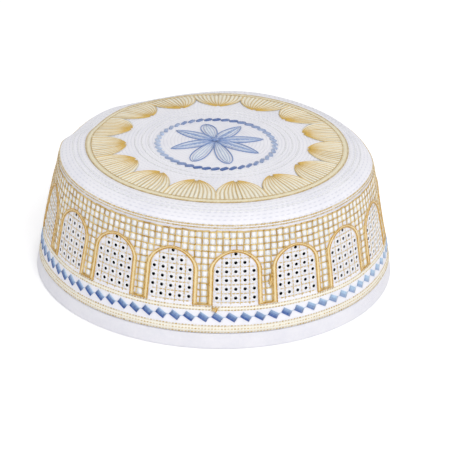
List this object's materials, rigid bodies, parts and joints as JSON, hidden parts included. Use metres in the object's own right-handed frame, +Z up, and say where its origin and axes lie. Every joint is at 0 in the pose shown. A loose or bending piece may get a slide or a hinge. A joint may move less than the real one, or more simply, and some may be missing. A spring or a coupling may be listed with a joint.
{
  "type": "embroidered prayer cap",
  "caption": "Round flat-topped cloth cap worn on the head, with a leaning wall, raised gold arches and shells, a blue flower and pierced eyelets.",
  "frame": {"origin": "centre of the rim, on the plane that the cap rests on", "axes": "+Z up through the top, -Y to the cap's front, +X to its right as the picture shows it"},
  "size_m": [0.1807, 0.1781, 0.0698],
  "materials": {
    "white_cotton": "woven, matt",
    "gold_thread": "satin stitch, silky",
    "pale_gold_thread": "satin stitch, silky",
    "blue_thread": "satin stitch, silky"
  },
  "bodies": {
    "root": {"crown_panel": "white_cotton", "side_band": "white_cotton", "hem_band": "white_cotton", "crown_ring": "pale_gold_thread", "flower": "blue_thread", "shell_01": "gold_thread", "shell_02": "gold_thread", "shell_03": "gold_thread", "shell_04": "gold_thread", "shell_05": "gold_thread", "shell_06": "gold_thread", "shell_07": "gold_thread", "shell_08": "gold_thread", "shell_09": "gold_thread", "shell_10": "gold_thread", "shell_11": "gold_thread", "shell_12": "gold_thread", "shell_13": "gold_thread", "shell_14": "gold_thread", "shell_15": "gold_thread", "arch_01": "gold_thread", "arch_02": "gold_thread", "arch_03": "gold_thread", "arch_04": "gold_thread", "arch_05": "gold_thread", "arch_06": "gold_thread", "arch_07": "gold_thread", "arch_08": "gold_thread", "arch_09": "gold_thread", "arch_10": "gold_thread", "arch_11": "gold_thread", "arch_12": "gold_thread", "arch_13": "gold_thread", "arch_14": "gold_thread", "arch_15": "gold_thread", "arch_16": "gold_thread", "arch_17": "gold_thread"}
  },
  "joints": []
}
